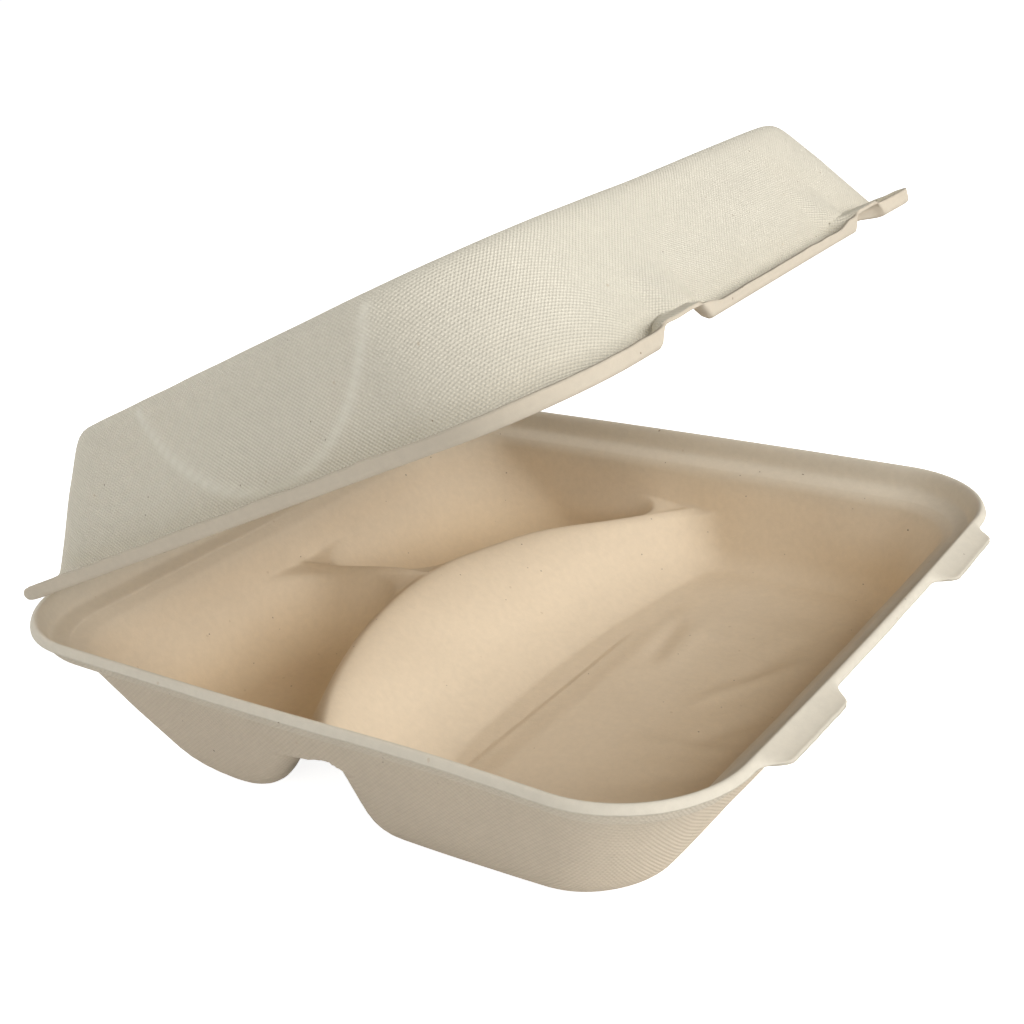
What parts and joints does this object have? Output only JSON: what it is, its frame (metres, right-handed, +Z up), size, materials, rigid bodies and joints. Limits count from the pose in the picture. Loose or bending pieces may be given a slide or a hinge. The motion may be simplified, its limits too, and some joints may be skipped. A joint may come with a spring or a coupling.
{
  "type": "food container",
  "caption": "Square moulded fibre clamshell food container: a divided tray with latch tabs and a hinged lid that stands part open.",
  "frame": {"origin": "centre of the whole object's footprint, on the surface it stands on", "axes": "+X from the hinge edge to the latch edge, +Y from the near side to the far side, +Z up"},
  "size_m": [0.2369, 0.233, 0.1579],
  "materials": {
    "tray_fibre": "matt moulded fibre",
    "lid_fibre": "matt moulded fibre"
  },
  "bodies": {
    "tray": {"tray": "tray_fibre"},
    "lid": {"lid": "lid_fibre"}
  },
  "joints": [
    {"name": "lid_hinge", "type": "hinge", "parent": "tray", "child": "lid", "pos_m": [-0.11855, 0, 0.04305], "axis": [0, -1, 0], "range_deg": [-24, 155]}
  ]
}
